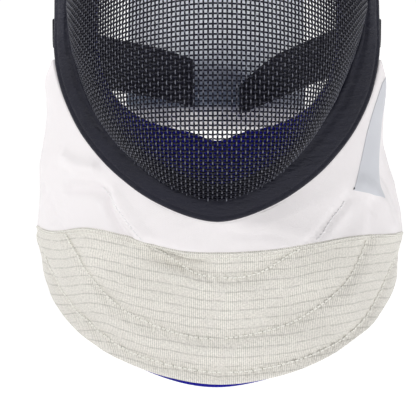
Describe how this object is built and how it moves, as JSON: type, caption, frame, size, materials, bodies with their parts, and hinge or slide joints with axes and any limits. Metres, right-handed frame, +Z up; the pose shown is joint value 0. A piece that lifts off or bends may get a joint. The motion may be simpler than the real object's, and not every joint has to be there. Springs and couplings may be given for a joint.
{
  "type": "foil fencing mask",
  "caption": "Fencing mask with a woven wire face, padded trim, cloth bib with a metal-thread panel, blue lining and a padded back tongue with straps.",
  "frame": {"origin": "the seat on the crown of the head, under the tongue's front end", "axes": "+Z up, -Y out through the wire face, +X to the right of someone who looks at the face"},
  "size_m": [0.2536, 0.2608, 0.3875],
  "materials": {
    "wire": "black lacquered woven wire",
    "trim": "dark slate synthetic leather, soft sheen",
    "cotton": "white closely woven cloth",
    "lame": "silver beige metal-thread cloth with fine stripes",
    "blue": "royal blue brushed lining",
    "grey": "light grey padded cloth",
    "webbing": "black woven strap",
    "label": "smooth pale woven strip, bare"
  },
  "bodies": {
    "root": {"wire_mesh": "wire", "rim_trim": "trim", "bib_upper": "cotton", "bib_lame": "lame", "bib_lining": "blue", "inner_liner": "blue", "back_tongue": "grey", "strap_left": "webbing", "strap_right": "webbing", "strap_tab_left": "webbing", "strap_tab_right": "webbing", "side_label": "label"}
  },
  "joints": []
}
